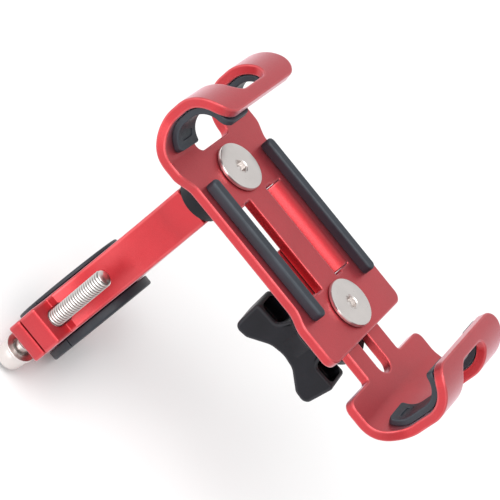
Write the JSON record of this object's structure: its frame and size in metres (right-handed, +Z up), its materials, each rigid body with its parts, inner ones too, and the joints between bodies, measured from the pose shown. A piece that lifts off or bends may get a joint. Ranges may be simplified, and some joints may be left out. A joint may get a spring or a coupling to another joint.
{
  "type": "phone handlebar mount",
  "caption": "Aluminium phone holder with a sliding padded claw, a wing knob and a swivel on a split handlebar clamp closed by a socket-head bolt.",
  "frame": {"origin": "centre of the handlebar bore, midway along the clamp's arm", "axes": "+X along the handlebar and towards the sliding claw, +Y towards the clamp's hinge, +Z up along the arm to the phone holder"},
  "size_m": [0.1238, 0.0624, 0.1303],
  "materials": {
    "red_metal": "bead-blasted and anodised red, satin",
    "steel": "nickel-plated steel",
    "rubber": "matte black rubber",
    "black_plastic": "moulded black nylon"
  },
  "bodies": {
    "clamp": {"clamp_arm": "red_metal", "upper_liner": "rubber", "hinge_pin": "steel", "swivel_spacer": "black_plastic", "swivel_washer": "rubber", "swivel_screw": "steel"},
    "jaw": {"lower_jaw": "red_metal", "lower_liner": "rubber"},
    "bolt": {"clamp_bolt": "steel", "bolt_washer": "steel"},
    "holder": {"main_plate": "red_metal", "phone_strip_near": "rubber", "phone_strip_far": "rubber", "fixed_claw_pad": "rubber", "slide_screw": "steel", "slide_washer": "steel"},
    "slider": {"sliding_plate": "red_metal", "sliding_claw_pad": "rubber"},
    "knob": {"wing_knob": "black_plastic", "knob_insert": "steel"}
  },
  "joints": [
    {"name": "holder_swivel", "type": "hinge", "parent": "clamp", "child": "holder", "pos_m": [0, 0, 0.0785], "axis": [0, 0, 1], "continuous": true},
    {"name": "claw_slide", "type": "slide", "parent": "holder", "child": "slider", "axis": [1, 0, 0], "range_m": [-0.018, 0.012]},
    {"name": "knob_turn", "type": "hinge", "parent": "holder", "child": "knob", "pos_m": [0.055, 0, 0.06], "axis": [0, 0, 1], "continuous": true},
    {"name": "jaw_hinge", "type": "hinge", "parent": "clamp", "child": "jaw", "pos_m": [0, 0.025, 0], "axis": [1, 0, 0], "range_deg": [0, 5]},
    {"name": "bolt_turn", "type": "hinge", "parent": "clamp", "child": "bolt", "pos_m": [0, -0.0265, 0], "axis": [0, 0, 1], "continuous": true}
  ]
}
